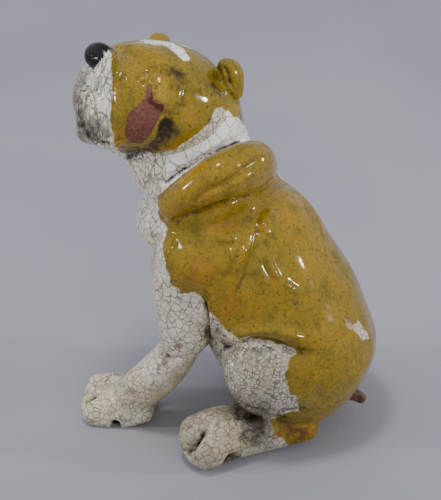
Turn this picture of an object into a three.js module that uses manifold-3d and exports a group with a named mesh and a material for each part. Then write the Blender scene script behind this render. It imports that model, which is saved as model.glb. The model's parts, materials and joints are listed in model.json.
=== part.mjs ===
// Sitting bulldog puppy in hand-built pottery: pieces of clay formed one by one and joined with slip.
// Millimetres, +Z up. The dog faces -Y, its left side is +X and it rests on Z = 0.
import * as THREE from 'three';
import { mergeVertices } from 'three/addons/utils/BufferGeometryUtils.js';
import Module from 'manifold-3d';

const wasm = await Module();
wasm.setup();

// The slip joint between two pieces, and the wall and steam vent of the hollow torso.
const SLIP = 0.3;
const WALL = 7;
const VENT_DIAMETER = 26;

// Torso: a leaning egg that sits on its rump. All widths, depths and heights below are half sizes.
const TORSO_HEIGHT = 131;
const TORSO_CROWN = 8;
const TORSO_WIDTH = 46;
const TORSO_DEPTH = 42;
const TORSO_LEAN = 42;
const NECK_WIDTH = 30;
const NECK_DEPTH = 31;
const NECK_ROLL = 11.5;
const TAIL_ROOT = 4.5;

// Head: a frame of its own, turned to the dog's left, lifted and tilted.
const HEAD_CENTRE = [0.133 * NECK_WIDTH, -0.643 * TORSO_LEAN, 1.305 * TORSO_HEIGHT];
const HEAD_TURN = 45;
const HEAD_LIFT = 25;
const HEAD_TILT = 7;
const HEAD_WIDTH = 33;
const HEAD_HEIGHT = 27;
const MUZZLE_REACH = 39;
const FLEW_WIDTH = 9;
const FLEW_DEPTH = 8.5;
const JAW_WIDTH = 13;
const NOSE_WIDTH = 7.4;
const EYE_RADIUS = 3.8;
const EAR_WIDTH = 8.5;
const EAR_THICKNESS = 3.2;

// Limbs. The front paws stand side by side, a little to the left of the middle.
const PAW_MIDDLE = 3;
const PAW_REACH = 60.5;
const PAW_WIDTH = 8.6;
const PAW_HEIGHT = 12;
const LEG_WIDTH = 12;
const LEG_DEPTH = 12.5;
// The right hind foot is set back from the left one.
const FOOT_WIDTH = 15;
const FOOT_HEIGHT = 13;
const FOOT_LENGTH = 49;
const FOOT_SET_BACK = 14;
const THIGH_WIDTH = 16;
const THIGH_DEPTH = 24;
// Half width of a groove between toes, as a share of the paw's half width.
const TOE_GROOVE = 0.13;

const OCHRE = { color: 0x96742a, roughness: 0.25 };
const WHITE = { color: 0xc9c6bc, roughness: 0.25 };
const BLACK = { color: 0x131316, roughness: 0.12 };
const BROWN = { color: 0x5a3a2a, roughness: 0.45 };

const ACROSS = new THREE.Vector3(1, 0, 0);
const ALONG = new THREE.Vector3(0, 1, 0);
const UPWARD = new THREE.Vector3(0, 0, 1);

// A closed skin through rings of points, with one pole beyond each end.
function skin(rings, firstPole, lastPole) {
  const sides = rings[0].length;
  const points = [...rings.flat(), firstPole, lastPole];
  const first = points.length - 2;
  const last = points.length - 1;
  const index = [];
  for (let r = 0; r < rings.length; r += 1) {
    for (let s = 0; s < sides; s += 1) {
      const a = r * sides + s;
      const b = r * sides + ((s + 1) % sides);
      if (r === 0) index.push(first, b, a);
      if (r === rings.length - 1) index.push(last, a, b);
      else index.push(a, b, b + sides, a, b + sides, a + sides);
    }
  }
  const geometry = new THREE.BufferGeometry().setFromPoints(points);
  geometry.setIndex(index);
  return geometry;
}

// Clay rolled out along a line of stops [x, y, z, half width, half height]. Every section is an ellipse
// whose width lies along `side`; level sections stay horizontal. A dome is the share of the smaller half
// size by which an end is rounded out, and a dome of 0 leaves that end flat.
function rolled(stops, options, grow) {
  const { steps = 8, sides = 16, level = false, side = ACROSS, domes = [0.8, 0.8], rounds = 3 } = options;
  const line = new THREE.CatmullRomCurve3(stops.map(([x, y, z]) => new THREE.Vector3(x, y, z)));
  const sizes = new THREE.CatmullRomCurve3(stops.map(([, , , w, h]) => new THREE.Vector3(w, h, 0)));
  const sectionAt = (t, shift, shrink) => {
    const along = level ? UPWARD.clone() : line.getTangent(t);
    const wide = side.clone().addScaledVector(along, -side.dot(along)).normalize();
    const high = new THREE.Vector3().crossVectors(along, wide);
    const size = sizes.getPoint(t);
    const middle = line.getPoint(t).addScaledVector(along, shift);
    const ring = [];
    for (let s = 0; s < sides; s += 1) {
      const angle = (2 * Math.PI * s) / sides;
      const w = (size.x + grow) * shrink * Math.cos(angle);
      const h = (size.y + grow) * shrink * Math.sin(angle);
      ring.push(middle.clone().addScaledVector(wide, w).addScaledVector(high, h));
    }
    return { ring, middle };
  };
  const reach = (t) => domes[t] * Math.min(sizes.getPoint(t).x, sizes.getPoint(t).y) + grow;
  const rings = [];
  const roundOff = (t, way) => {
    const made = [];
    for (let k = 1; domes[t] > 0 && k < rounds; k += 1) {
      const angle = (k / rounds) * (Math.PI / 2);
      made.push(sectionAt(t, way * reach(t) * Math.sin(angle), Math.cos(angle)).ring);
    }
    return made;
  };
  rings.push(...roundOff(0, -1).reverse());
  for (let i = 0; i <= steps; i += 1) {
    const flatStart = i === 0 && domes[0] === 0 ? -grow : 0;
    const flatEnd = i === steps && domes[1] === 0 ? grow : 0;
    rings.push(sectionAt(i / steps, flatStart + flatEnd, 1).ring);
  }
  rings.push(...roundOff(1, 1));
  return skin(rings, sectionAt(0, -reach(0), 1).middle, sectionAt(1, reach(1), 1).middle);
}

// A closed body, with its faces turned outwards.
function solid(geometry) {
  const bare = geometry.clone();
  bare.deleteAttribute('normal');
  bare.deleteAttribute('uv');
  const welded = mergeVertices(bare, 1e-4);
  const vertProperties = Float32Array.from(welded.attributes.position.array);
  const triVerts = Uint32Array.from(welded.index.array);
  const body = new wasm.Manifold(new wasm.Mesh({ numProp: 3, vertProperties, triVerts }));
  if (body.volume() > 0) return body;
  for (let i = 0; i < triVerts.length; i += 3) {
    [triVerts[i], triVerts[i + 1]] = [triVerts[i + 1], triVerts[i]];
  }
  return new wasm.Manifold(new wasm.Mesh({ numProp: 3, vertProperties, triVerts }));
}

const headFrame = new THREE.Matrix4()
  .makeTranslation(...HEAD_CENTRE)
  .multiply(new THREE.Matrix4().makeRotationZ(THREE.MathUtils.degToRad(HEAD_TURN)))
  .multiply(new THREE.Matrix4().makeRotationX(THREE.MathUtils.degToRad(-HEAD_LIFT)))
  .multiply(new THREE.Matrix4().makeRotationY(THREE.MathUtils.degToRad(-HEAD_TILT)));
const bodyFrame = new THREE.Matrix4();

// A form makes its body to size, or grown by the slip joint to cut its seat in a neighbour.
const form = (stops, options = {}, frame = bodyFrame) => (grow = 0) =>
  solid(rolled(stops, options, grow).applyMatrix4(frame));
const headForm = (stops, options) => form(stops, options, headFrame);
const cut = (body, ...neighbours) => neighbours.reduce((left, other) => left.subtract(other(SLIP)), body);

// Everything below the floor, and everything on the far side of a frame's middle plane.
const WORLD = 400;
const block = (x, z, frame = bodyFrame) =>
  solid(new THREE.BoxGeometry(WORLD, WORLD, WORLD).translate(x, 0, z).applyMatrix4(frame));
const floor = block(0, -WORLD / 2);
const farSide = (way, frame) => () => block((way * (SLIP - WORLD)) / 2, 0, frame);
const onFloor = (body) => body.subtract(floor);

const dog = new THREE.Group();
dog.name = 'pottery_dog';
function place(name, body, glaze) {
  const { vertProperties, triVerts } = body.getMesh();
  const geometry = new THREE.BufferGeometry();
  geometry.setAttribute('position', new THREE.Float32BufferAttribute(vertProperties, 3));
  geometry.setIndex(Array.from(triVerts));
  geometry.computeVertexNormals();
  const mesh = new THREE.Mesh(geometry, new THREE.MeshStandardMaterial({ ...glaze, metalness: 0 }));
  mesh.name = name;
  dog.add(mesh);
}

// Torso rings: [share of height, share of lean, share of depth, share of width]. The chest swells out
// under the throat, and the withers stand up behind the neck.
const TORSO_RINGS = [
  [0.00, 0.52, 0.44, 0.44],
  [0.05, 0.64, 0.56, 0.54],
  [0.16, 0.80, 0.77, 0.80],
  [0.33, 0.85, 0.95, 0.99],
  [0.49, 0.66, 1.01, 1.00],
  [0.60, 0.42, 1.11, 0.99],
  [0.71, 0.27, 1.05, 0.96],
  [0.76, 0.21, 1.01, 0.94],
  [0.82, 0.09, 1.04, 0.90],
  [0.90, 0.03, 0.94, 0.82],
  [1.00, -0.02, 0.74, 0.66],
];
const torsoStops = TORSO_RINGS.map(([up, lean, depth, width]) =>
  [0, lean * TORSO_LEAN, up * TORSO_HEIGHT, width * TORSO_WIDTH, depth * TORSO_DEPTH]);
const crown = TORSO_CROWN / torsoStops.at(-1)[4];
const torso = form(torsoStops, { level: true, steps: 20, sides: 26, domes: [0, crown] });
const vent = new THREE.CylinderGeometry(VENT_DIAMETER / 2, VENT_DIAMETER / 2, 4 * WALL, 24)
  .rotateX(Math.PI / 2)
  .translate(0, torsoStops[0][1], 0);

// The collar of the neck bulges over the chest.
const neck = form([
  [0, -0.23 * NECK_DEPTH, 0.931 * TORSO_HEIGHT, 0.83 * NECK_WIDTH, 0.81 * NECK_DEPTH],
  [0, -0.32 * NECK_DEPTH, 0.985 * TORSO_HEIGHT, 0.97 * NECK_WIDTH, 0.95 * NECK_DEPTH],
  [0, -0.39 * NECK_DEPTH, 1.046 * TORSO_HEIGHT, 1.02 * NECK_WIDTH, 1.02 * NECK_DEPTH],
  [0.03 * NECK_WIDTH, -0.53 * NECK_DEPTH, 1.145 * TORSO_HEIGHT, 0.95 * NECK_WIDTH, 0.97 * NECK_DEPTH],
  [0.07 * NECK_WIDTH, -0.6 * NECK_DEPTH, 1.282 * TORSO_HEIGHT, 0.85 * NECK_WIDTH, 0.9 * NECK_DEPTH],
], { level: true, sides: 22, domes: [0.3, 0.8] });

// The skin of the neck bunches into a roll on the side to which the head turns.
const neckRoll = form([
  [0.9 * NECK_WIDTH, -0.65 * NECK_DEPTH, 0.973 * TORSO_HEIGHT, 0.74 * NECK_ROLL, 0.6 * NECK_ROLL],
  [1.13 * NECK_WIDTH, -0.32 * NECK_DEPTH, 1.046 * TORSO_HEIGHT, 0.95 * NECK_ROLL, 0.7 * NECK_ROLL],
  [1.1 * NECK_WIDTH, 0.065 * NECK_DEPTH, 1.103 * TORSO_HEIGHT, NECK_ROLL, 0.8 * NECK_ROLL],
  [0.7 * NECK_WIDTH, 0.435 * NECK_DEPTH, 1.103 * TORSO_HEIGHT, 1.04 * NECK_ROLL, 0.83 * NECK_ROLL],
  [0.13 * NECK_WIDTH, 0.58 * NECK_DEPTH, 1.057 * TORSO_HEIGHT, NECK_ROLL, 0.78 * NECK_ROLL],
  [-0.4 * NECK_WIDTH, 0.515 * NECK_DEPTH, 0.985 * TORSO_HEIGHT, 0.7 * NECK_ROLL, 0.55 * NECK_ROLL],
], { side: UPWARD, steps: 15, sides: 14 });

const rump = 0.71 * TORSO_LEAN + 0.7 * TORSO_DEPTH;
const tail = form([
  [0, rump, 0.134 * TORSO_HEIGHT, TAIL_ROOT, TAIL_ROOT],
  [0.1 * TAIL_ROOT, rump + 1.55 * TAIL_ROOT, 0.118 * TORSO_HEIGHT, 0.71 * TAIL_ROOT, 0.75 * TAIL_ROOT],
  [0.3 * TAIL_ROOT, rump + 2.65 * TAIL_ROOT, 0.103 * TORSO_HEIGHT, 0.58 * TAIL_ROOT, 0.51 * TAIL_ROOT],
], { side: UPWARD, sides: 10, steps: 4 });

const head = headForm([
  [0, 0.564 * MUZZLE_REACH, -0.037 * HEAD_HEIGHT, 0.64 * HEAD_WIDTH, 0.63 * HEAD_HEIGHT],
  [0, 0.333 * MUZZLE_REACH, 0, 0.91 * HEAD_WIDTH, 0.93 * HEAD_HEIGHT],
  [0, 0, 0, HEAD_WIDTH, HEAD_HEIGHT],
  [0, -0.385 * MUZZLE_REACH, -0.037 * HEAD_HEIGHT, 0.94 * HEAD_WIDTH, 0.96 * HEAD_HEIGHT],
  [0, -0.667 * MUZZLE_REACH, -0.11 * HEAD_HEIGHT, 0.79 * HEAD_WIDTH, 0.81 * HEAD_HEIGHT],
  [0, -0.949 * MUZZLE_REACH, -0.11 * HEAD_HEIGHT, 0.58 * HEAD_WIDTH, 0.67 * HEAD_HEIGHT],
], { sides: 24, steps: 12, domes: [0.5, 0.2] });
const nose = headForm([
  [0, -1.05 * MUZZLE_REACH, 0.496 * HEAD_HEIGHT, 0.89 * NOSE_WIDTH, 0.76 * NOSE_WIDTH],
  [0, -1.167 * MUZZLE_REACH, 0.52 * HEAD_HEIGHT, NOSE_WIDTH, 0.85 * NOSE_WIDTH],
], { steps: 3, domes: [0.6, 0.6] });
const flewAt = 0.13 * HEAD_WIDTH;
const flew = (way) => headForm([
  [way * 1.82 * flewAt, -1.077 * MUZZLE_REACH, 0.61 * HEAD_HEIGHT, 0.36 * FLEW_WIDTH, 0.4 * FLEW_DEPTH],
  [way * 1.44 * flewAt, -1.038 * MUZZLE_REACH, 0.37 * HEAD_HEIGHT, 0.67 * FLEW_WIDTH, 0.71 * FLEW_DEPTH],
  [way * 1.15 * flewAt, -0.936 * MUZZLE_REACH, 0.07 * HEAD_HEIGHT, FLEW_WIDTH, 0.95 * FLEW_DEPTH],
  [way * 1.26 * flewAt, -0.897 * MUZZLE_REACH, -0.33 * HEAD_HEIGHT, 1.05 * FLEW_WIDTH, FLEW_DEPTH],
  [way * 1.26 * flewAt, -0.795 * MUZZLE_REACH, -0.685 * HEAD_HEIGHT, 0.89 * FLEW_WIDTH, 0.82 * FLEW_DEPTH],
], { domes: [0.7, 0.7] });
const jaw = headForm([
  [0, -0.256 * MUZZLE_REACH, -0.85 * HEAD_HEIGHT, 1.08 * JAW_WIDTH, 0.46 * JAW_WIDTH],
  [0, -0.513 * MUZZLE_REACH, -0.89 * HEAD_HEIGHT, JAW_WIDTH, 0.46 * JAW_WIDTH],
  [0, -0.692 * MUZZLE_REACH, -0.85 * HEAD_HEIGHT, 0.77 * JAW_WIDTH, 0.38 * JAW_WIDTH],
], { steps: 6 });

// Ear stops: [shares of the head's width outwards and backwards, share of its height, shares of the ear's
// width and thickness]. The left ear hangs down beside the cheek, the right one is laid back.
const EARS = {
  left: [
    [0.62, 0.33, 0.72, 0.53, 0.94],
    [0.76, 0.35, 0.87, 0.65, 1.00],
    [0.86, 0.41, 0.76, 0.71, 1.00],
    [0.89, 0.50, 0.54, 0.59, 0.94],
    [0.89, 0.58, 0.37, 0.35, 0.81],
  ],
  right: [
    [0.58, 0.24, 0.74, 0.82, 0.94],
    [0.73, 0.39, 0.96, 0.76, 1.00],
    [0.88, 0.48, 0.85, 0.65, 0.94],
    [0.94, 0.48, 0.52, 0.42, 0.81],
  ],
};
const ear = (label, way) => headForm(EARS[label].map(([out, back, up, width, depth]) =>
  [way * out * HEAD_WIDTH, back * HEAD_WIDTH, up * HEAD_HEIGHT, width * EAR_WIDTH, depth * EAR_THICKNESS]),
{ side: ALONG, sides: 12, steps: 6 });
const eye = (way) => headForm([
  [way * 0.52 * HEAD_WIDTH, -0.733 * MUZZLE_REACH, 0.315 * HEAD_HEIGHT, EYE_RADIUS, EYE_RADIUS],
  [way * 0.56 * HEAD_WIDTH, -0.77 * MUZZLE_REACH, 0.33 * HEAD_HEIGHT, EYE_RADIUS, 0.9 * EYE_RADIUS],
], { sides: 12, steps: 2 });

place('torso', torso().subtract(torso(-WALL)).subtract(solid(vent)), OCHRE);
place('neck', cut(neck(), torso, head), WHITE);
place('neck_roll', cut(neckRoll(), torso, neck, head), OCHRE);
place('tail', onFloor(cut(tail(), torso)), BROWN);
place('head', head(), OCHRE);
place('nose', cut(nose(), head), BLACK);
place('lower_jaw', cut(jaw(), head, neck, flew(1), flew(-1)), WHITE);

// Grooves between three toes: tool strokes over the front of a foot, from its top down to its sole.
function toeGrooves(tip, heading, width, top) {
  const side = new THREE.Vector3(-heading.y, heading.x, 0);
  const groove = TOE_GROOVE * width;
  return [-1, 1].map((way) => {
    const stroke = (back, up) => {
      const at = tip.clone().addScaledVector(heading, -back).addScaledVector(side, way * 0.35 * width);
      return [at.x, at.y, up, groove, 2.2 * groove];
    };
    return form([stroke(0.9 * top, 1.02 * top), stroke(0.3 * top, 0.85 * top), stroke(0, 0.4 * top),
      stroke(0.1 * top, 0)], { side, sides: 8, steps: 8 })();
  });
}
const grooved = (body, grooves) => grooves.reduce((left, groove) => left.subtract(groove), body);

// Front paw stops: [share of reach, share of height of the middle, share of width, share of height].
const PAWS = {
  left: [
    [0.612, 1.000, 1.00, 0.88],
    [0.810, 0.733, 1.00, 0.92],
    [1.000, 0.617, 0.91, 0.75],
  ],
  right: [
    [0.562, 0.700, 0.88, 0.80],
    [0.793, 0.700, 0.93, 0.78],
    [1.008, 0.633, 0.88, 0.70],
  ],
};

// Foreleg stops: [share of the torso's width outwards, share of the paws' reach forwards, share of the
// torso's height, shares of the leg's width and depth]. The right leg leans back further at the elbow.
const FORELEGS = {
  left: [
    [0.72, 0.15, 0.794, 1.00, 1.52],
    [0.63, 0.26, 0.649, 0.96, 1.08],
    [0.59, 0.25, 0.519, 1.00, 1.00],
    [0.50, 0.26, 0.389, 0.92, 0.90],
    [0.41, 0.43, 0.275, 0.87, 0.83],
    [0.33, 0.60, 0.179, 0.80, 0.83],
    [0.26, 0.71, 0.115, 0.72, 0.75],
  ],
  right: [
    [0.72, 0.08, 0.794, 1.00, 1.52],
    [0.63, 0.17, 0.649, 0.96, 1.08],
    [0.59, 0.08, 0.519, 0.96, 0.92],
    [0.48, 0.00, 0.389, 0.85, 0.85],
    [0.33, 0.24, 0.275, 0.70, 0.67],
    [0.20, 0.45, 0.176, 0.65, 0.64],
    [0.13, 0.58, 0.107, 0.62, 0.64],
  ],
};
const pawFrame = new THREE.Matrix4().makeTranslation(PAW_MIDDLE, 0, 0);

for (const [label, way] of [['left', 1], ['right', -1]]) {
  place(`${label}_flew`, cut(flew(way)(), head, nose, farSide(way, headFrame)), WHITE);
  place(`${label}_ear`, cut(ear(label, way)(), head, neck), OCHRE);
  place(`${label}_eye`, cut(eye(way)(), head), BROWN);

  const pawAt = PAW_MIDDLE + way * 0.965 * PAW_WIDTH;
  const paw = form(PAWS[label].map(([ahead, up, width, height]) =>
    [pawAt, -ahead * PAW_REACH, up * PAW_HEIGHT, width * PAW_WIDTH, height * PAW_HEIGHT]),
  { sides: 18, steps: 6, domes: [0.6, 0.9] });
  // The notch at the sole between the two toes on the outer side.
  const notchAt = pawAt + way * 0.6 * PAW_WIDTH;
  const notch = form([
    [notchAt, -0.81 * PAW_REACH, 0, 0.26 * PAW_WIDTH, 0.26 * PAW_WIDTH],
    [notchAt, -0.81 * PAW_REACH, 0.3 * PAW_HEIGHT, 0.2 * PAW_WIDTH, 0.2 * PAW_WIDTH],
  ], { sides: 10, steps: 2 })();
  const leg = form(FORELEGS[label].map(([out, ahead, up, width, depth]) =>
    [way * out * TORSO_WIDTH, -ahead * PAW_REACH, up * TORSO_HEIGHT, width * LEG_WIDTH, depth * LEG_DEPTH]),
  { sides: 18, steps: 12, domes: [0.8, 0.6] });
  place(`${label}_front_paw`, onFloor(cut(paw(), farSide(way, pawFrame))).subtract(notch), WHITE);
  place(`${label}_foreleg`, onFloor(cut(leg(), torso, neck, neckRoll, paw, farSide(way, pawFrame))), WHITE);

  const toeAt = (way < 0 ? FOOT_SET_BACK : 0) - 0.122 * FOOT_LENGTH;
  const foot = form([
    [0.52, 1, 0.92, 0.53, 0.7],
    [0.675, 0.61, 0.92, 0.6, 0.85],
    [0.825, 0.245, 1, 0.87, 1.08],
    [0.955, 0, 0.88, 1, 1],
  ].map(([out, back, up, width, height]) => [way * out * TORSO_WIDTH, toeAt + back * FOOT_LENGTH,
    up * FOOT_HEIGHT, width * FOOT_WIDTH, height * FOOT_HEIGHT]), { sides: 18, steps: 9, domes: [0.8, 0.7] });
  const heading = new THREE.Vector3(way * 0.55, -0.84, 0).normalize();
  const footTip = new THREE.Vector3(way * 0.955 * TORSO_WIDTH, toeAt, 0)
    .addScaledVector(heading, 0.68 * FOOT_HEIGHT);
  const footGrooves = toeGrooves(footTip, heading, FOOT_WIDTH, 1.85 * FOOT_HEIGHT);
  const thigh = form([
    [0.675, 0.952, 0.35, 1, 0.83],
    [0.78, 0.643, 0.367, 1, 1],
    [0.825, 0.357, 0.328, 0.81, 0.79],
  ].map(([out, back, up, width, depth]) => [way * out * TORSO_WIDTH, back * TORSO_DEPTH,
    up * TORSO_HEIGHT, width * THIGH_WIDTH, depth * THIGH_DEPTH]), { sides: 18 });
  place(`${label}_hind_foot`, grooved(onFloor(cut(foot(), torso, farSide(way))), footGrooves), WHITE);
  place(`${label}_thigh`, onFloor(cut(thigh(), torso, foot, leg)), WHITE);
}

// The frame's origin lies under the middle of the whole dog.
const middle = new THREE.Box3().setFromObject(dog).getCenter(new THREE.Vector3());
dog.position.set(-middle.x, -middle.y, 0);

export default dog;
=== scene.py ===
"""Looks of a sitting pottery dog: clay forms fused into one skin, worked, cut into pieces and glazed."""
import json
import math

import bpy
import numpy as np
from mathutils import Matrix, Vector
from mathutils.bvhtree import BVHTree


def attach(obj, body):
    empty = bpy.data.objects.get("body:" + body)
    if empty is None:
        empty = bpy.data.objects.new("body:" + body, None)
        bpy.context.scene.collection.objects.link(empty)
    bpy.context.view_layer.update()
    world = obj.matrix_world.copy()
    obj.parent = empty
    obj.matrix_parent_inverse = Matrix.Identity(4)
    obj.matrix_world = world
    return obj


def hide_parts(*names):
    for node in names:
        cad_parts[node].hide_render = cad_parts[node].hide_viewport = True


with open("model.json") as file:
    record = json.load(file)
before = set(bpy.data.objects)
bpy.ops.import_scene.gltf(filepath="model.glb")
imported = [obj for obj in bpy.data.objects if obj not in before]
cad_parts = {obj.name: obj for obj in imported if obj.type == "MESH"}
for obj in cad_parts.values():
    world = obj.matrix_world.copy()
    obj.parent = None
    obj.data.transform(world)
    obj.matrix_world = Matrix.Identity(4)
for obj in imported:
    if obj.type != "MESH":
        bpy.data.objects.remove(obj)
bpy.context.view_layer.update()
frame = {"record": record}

# Sizes are in millimetres until the pieces are made.
MM = 0.001
X = np.array([1.0, 0.0, 0.0])
Y = np.array([0.0, 1.0, 0.0])
Z = np.array([0.0, 0.0, 1.0])
SIDES = (("left", 1), ("right", -1))
MODEL_SHIFT = np.array([0.0, -3.763, 0.0])
FAR_FOOT_SETBACK = 14.0

# The photograph's view of the dog.
IMAGE = np.array([441.0, 500.0])
PIXELS_PER_MM = 2.1
AZIMUTH = math.radians(95)
ELEVATION = math.radians(28)
DISTANCE = 1200.0
FOCAL = 2520.0
TARGET = np.array([0.0, -3.773, 92.0])
BACK = np.array([math.sin(AZIMUTH) * math.cos(ELEVATION),
                 -math.cos(AZIMUTH) * math.cos(ELEVATION), math.sin(ELEVATION)])
RIGHT = np.array([math.cos(AZIMUTH), math.sin(AZIMUTH), 0.0])
UP = np.cross(BACK, RIGHT)
EYE = TARGET + DISTANCE * BACK


def project(points):
    """Photograph pixels of points in the dog's frame."""
    q = points - TARGET
    depth = DISTANCE - q @ BACK
    return np.stack([IMAGE[0] / 2 + FOCAL * (q @ RIGHT) / depth,
                     IMAGE[1] / 2 - FOCAL * (q @ UP) / depth], -1)


def moved(points, matrix):
    return points @ matrix[:3, :3].T + matrix[:3, 3]


def spline(points, t):
    """Points of a smooth curve through the given points, at shares t of its way."""
    points = np.asarray(points, float)
    ring = np.vstack([2 * points[0] - points[1], points, 2 * points[-1] - points[-2]])
    last = len(ring) - 3
    f = np.clip(t, 0, 1) * last
    i = np.minimum(f.astype(int), last - 1)
    w = (f - i)[:, None]
    a, b, c, d = ring[i], ring[i + 1], ring[i + 2], ring[i + 3]
    turn = 2 * a - 5 * b + 4 * c - d
    twist = 3 * b - a - 3 * c + d
    return 0.5 * (2 * b + (c - a) * w + turn * w ** 2 + twist * w ** 3)


# Clay forms: rings rolled along a smooth line and closed at both ends.
DOME_RINGS = 8
RING_STEPS = 40
RING_SIDES = 64
TINY = 1e-3


def rings_of(stops, side=X, level=False, domes=(0.8, 0.8)):
    """Rings of clay along stops [x, y, z, half width, half height], and the poles beyond both ends.

    A dome is the height of a rounded end as a share of its smaller half size, and 0 leaves the end flat.
    """
    stops = np.asarray(stops, float)
    bends = [k / DOME_RINGS * math.pi / 2 for k in range(1, DOME_RINGS)]
    plan = [(0.0, -math.sin(bend), math.cos(bend)) for bend in reversed(bends)] if domes[0] else []
    plan += [(i / RING_STEPS, 0.0, 1.0) for i in range(RING_STEPS + 1)]
    plan += [(1.0, math.sin(bend), math.cos(bend)) for bend in bends] if domes[1] else []
    t, lift, shrink = np.array(plan).T
    line = spline(stops, t)
    along = spline(stops, np.minimum(t + TINY, 1))[:, :3] - spline(stops, np.maximum(t - TINY, 0))[:, :3]
    if level:
        along = np.tile(Z, (len(t), 1))
    along /= np.linalg.norm(along, axis=1)[:, None]
    wide = side - (along @ side)[:, None] * along
    wide /= np.linalg.norm(wide, axis=1)[:, None]
    high = np.cross(along, wide)
    reach = np.where(t < 0.5, domes[0] * stops[0, 3:].min(), domes[1] * stops[-1, 3:].min())
    middle = line[:, :3] + along * (lift * reach)[:, None]
    angle = np.linspace(0, 2 * math.pi, RING_SIDES, endpoint=False)
    w = (line[:, 3] * shrink)[:, None] * np.cos(angle)
    h = (line[:, 4] * shrink)[:, None] * np.sin(angle)
    rings = middle[:, None] + w[..., None] * wide[:, None] + h[..., None] * high[:, None]
    first = line[0, :3] - along[0] * reach[0] * bool(domes[0])
    return rings, first, line[-1, :3] + along[-1] * reach[-1] * bool(domes[1])


def skin_of(rings, first, last):
    """Vertices and faces of a closed skin through rings, with a pole beyond each end."""
    count, sides = rings.shape[:2]
    points = np.vstack([rings.reshape(-1, 3), first, last])
    faces = []
    for r in range(count - 1):
        for s in range(sides):
            a, b = r * sides + s, r * sides + (s + 1) % sides
            faces.append((a, b, b + sides, a + sides))
    base = (count - 1) * sides
    for s in range(sides):
        faces.append((count * sides, (s + 1) % sides, s))
        faces.append((count * sides + 1, base + s, base + (s + 1) % sides))
    return points, faces


HEAD_PLACE = (4, -27, 171)
HEAD_TURN = math.radians(45)
HEAD_LIFT = math.radians(25)
HEAD_TILT = math.radians(7)
head_pose = (Matrix.Translation(HEAD_PLACE) @ Matrix.Rotation(HEAD_TURN, 4, "Z")
             @ Matrix.Rotation(-HEAD_LIFT, 4, "X") @ Matrix.Rotation(-HEAD_TILT, 4, "Y"))
HEAD = np.array(Matrix.Translation(Vector(MODEL_SHIFT)) @ head_pose)
UNHEAD = np.linalg.inv(HEAD)

forms = []


def form(node, stops, **options):
    """Add clay to a piece, at stops in the dog's frame."""
    points, faces = skin_of(*rings_of(stops, **options))
    forms.append((node, points + MODEL_SHIFT, faces))


def head_form(node, stops, **options):
    """Add clay to a piece, at stops in the head's own frame."""
    points, faces = skin_of(*rings_of(stops, **options))
    forms.append((node, moved(points, HEAD), faces))


# Torso and neck.
VENT_RADIUS = 13.0
VENT_DEPTH = 30.0
VENT_PLACE = 21.8
TORSO = [[0, 22.6, 0, 20.2, 17.7], [0, 28.2, 6.6, 24.8, 22.2], [0, 36, 21, 36.8, 30],
         [0, 35.7, 43.2, 45.5, 39.9], [0, 27.7, 64.2, 46, 42.4], [0, 16.4, 78.6, 45.5, 48],
         [0, 11.2, 93, 44.2, 44.3], [0, 9, 100, 43.2, 42.4], [0, 3.6, 108, 41.4, 43.4],
         [0, 0.6, 118, 36.5, 38.4], [0, -3, 126, 29.5, 30.5]]
CLAY_UNDER_ROLL = [[25, -20, 118, 6, 5], [30, -9, 127, 6.5, 5.5], [30, 2, 131.5, 6.5, 5.5],
                   [21, 11.5, 130.5, 6, 5], [8, 16, 126, 5, 5]]
NECK = [[0, -7, 122, 25, 25], [0, -10, 129, 29, 29.5], [0, -12, 137, 30.5, 31.5], [1, -16.5, 150, 28.5, 30],
        [2, -18.6, 168, 25.5, 27.9]]
NECK_ROLL = [[27, -20, 128.3, 7.7, 6.9], [33.6, -9.5, 139.9, 8.2, 8], [33, 2, 147.2, 11, 9.2],
             [21, 13, 146, 12.6, 9.6], [4, 18, 138.5, 11.5, 9], [-12, 16, 129, 8, 6.3]]
TAIL = [[0, 59, 17.5, 4.5, 4.5], [0.5, 65.5, 15.5, 3.2, 3.4], [1.2, 69.5, 13.8, 2.7, 2.5]]


def form_torso():
    """The torso's skin runs down through the steam vent in its base and then up outside."""
    outer, _, crown = rings_of(TORSO, level=True, domes=(0, 0.2))
    around = np.linspace(0, 2 * math.pi, RING_SIDES, endpoint=False)
    across, along = VENT_RADIUS * np.cos(around), VENT_PLACE + VENT_RADIUS * np.sin(around)
    mouth = np.stack([across, along, 0 * around], -1)
    rings = np.concatenate([(mouth + VENT_DEPTH * Z)[None], mouth[None], outer])
    points, faces = skin_of(rings, np.array([0, VENT_PLACE, VENT_DEPTH]), crown)
    forms.append(("torso", points + MODEL_SHIFT, faces))


form_torso()
form("torso", CLAY_UNDER_ROLL, side=Z)
form("neck", NECK, level=True, domes=(0.3, 0.8))
form("neck_roll", NECK_ROLL, side=Z)
form("tail", TAIL, side=Z)

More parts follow.
